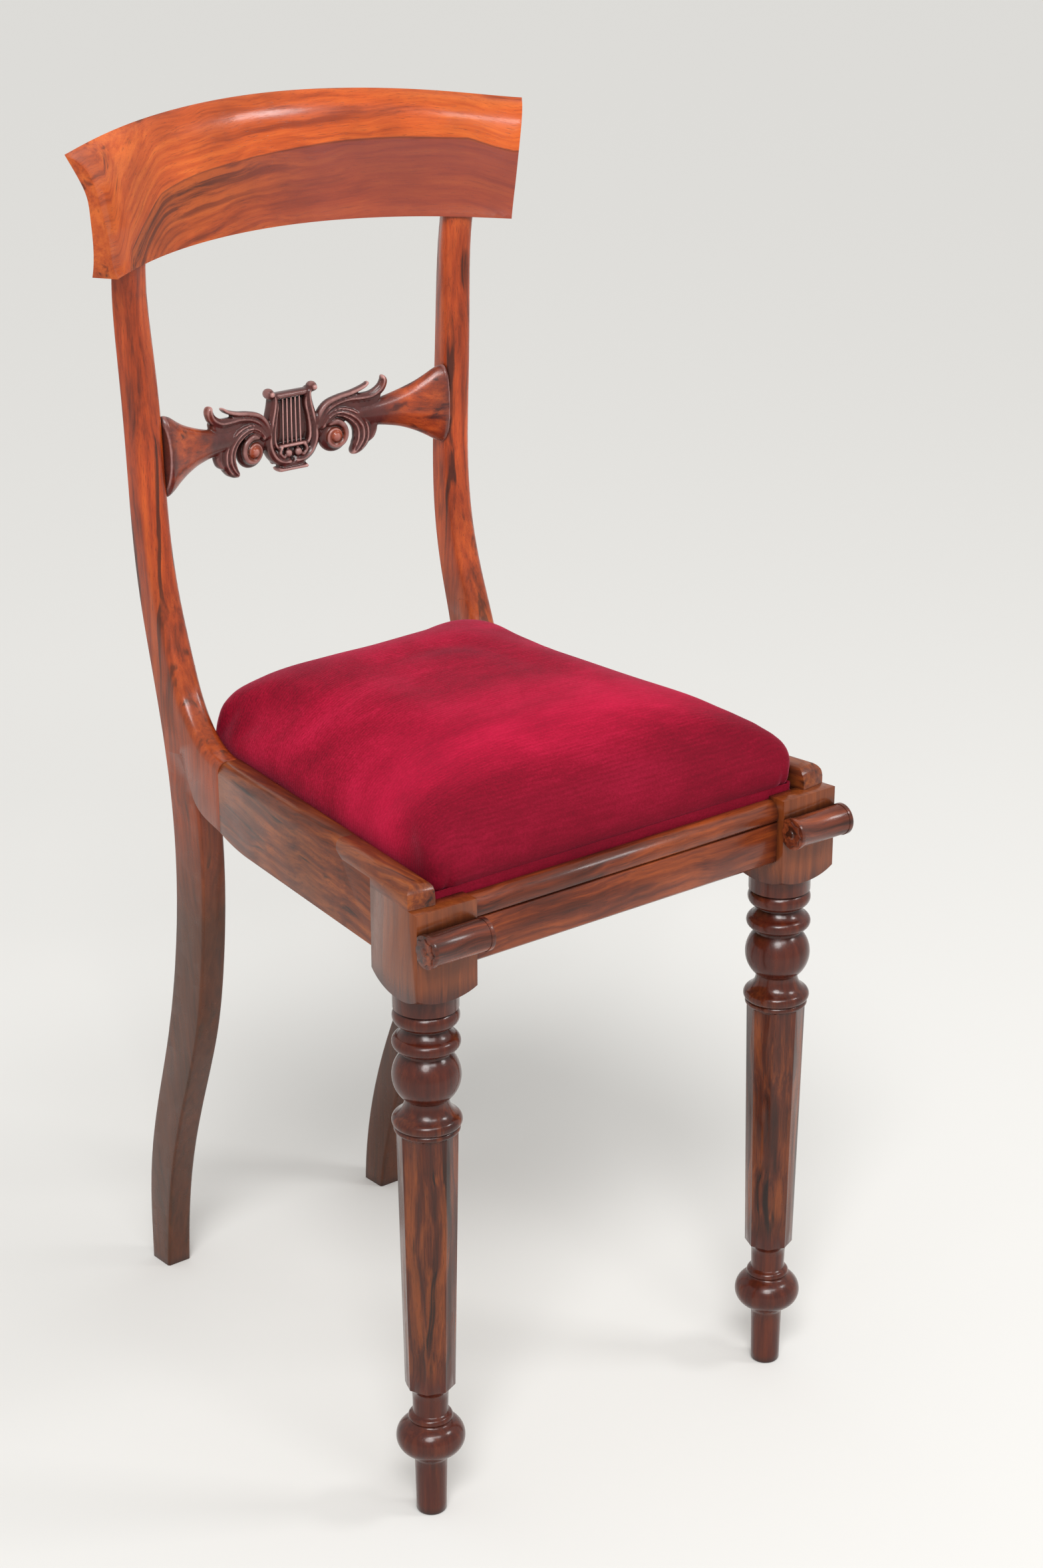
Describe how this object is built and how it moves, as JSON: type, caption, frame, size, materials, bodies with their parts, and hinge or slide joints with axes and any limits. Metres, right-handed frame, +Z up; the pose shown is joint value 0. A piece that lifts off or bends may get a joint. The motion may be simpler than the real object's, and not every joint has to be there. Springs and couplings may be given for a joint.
{
  "type": "dining chair",
  "caption": "Slender wooden dining chair with a curved crown rail, a carved lyre cross rail, turned front legs, swept back legs and a velvet drop-in seat.",
  "frame": {"origin": "on the floor, in the middle of the chair's footprint", "axes": "+Z up, the chair faces -Y, +X to the right seen from the front"},
  "size_m": [0.3802, 0.4524, 0.884],
  "materials": {
    "polished_wood": "french polish",
    "plain_wood": "unpolished",
    "seat_wood": "unpolished beech",
    "steel": "blued",
    "webbing": "woven jute",
    "hessian": "woven hessian",
    "stuffing": "curled hair",
    "velvet": "crimson velvet"
  },
  "bodies": {
    "chair_frame": {"crown_rail": "polished_wood", "left_back_post": "polished_wood", "right_back_post": "polished_wood", "lyre_cross_rail": "polished_wood", "left_side_rail": "polished_wood", "right_side_rail": "polished_wood", "front_rail": "polished_wood", "back_rail": "polished_wood", "left_front_leg": "polished_wood", "right_front_leg": "polished_wood", "left_front_roll": "polished_wood", "right_front_roll": "polished_wood", "left_front_brace": "plain_wood", "right_front_brace": "plain_wood", "left_back_brace": "plain_wood", "right_back_brace": "plain_wood", "crown_rail_dowels": "plain_wood", "cross_rail_dowels": "plain_wood", "front_rail_dowels": "plain_wood", "side_rail_front_dowels": "plain_wood", "side_rail_back_dowels": "plain_wood", "back_rail_dowels": "plain_wood", "brace_screws": "steel"},
    "drop_in_seat": {"seat_front_bar": "seat_wood", "seat_back_bar": "seat_wood", "seat_left_bar": "seat_wood", "seat_right_bar": "seat_wood", "seat_frame_dowels": "seat_wood", "webbing_lengthwise": "webbing", "webbing_crosswise": "webbing", "seat_hessian": "hessian", "seat_stuffing": "stuffing", "seat_cover": "velvet", "webbing_tacks": "steel", "cover_tacks": "steel"}
  },
  "joints": [
    {"name": "seat_lift", "type": "slide", "parent": "chair_frame", "child": "drop_in_seat", "axis": [0, 0, 1], "range_m": [0, 0.12]}
  ]
}
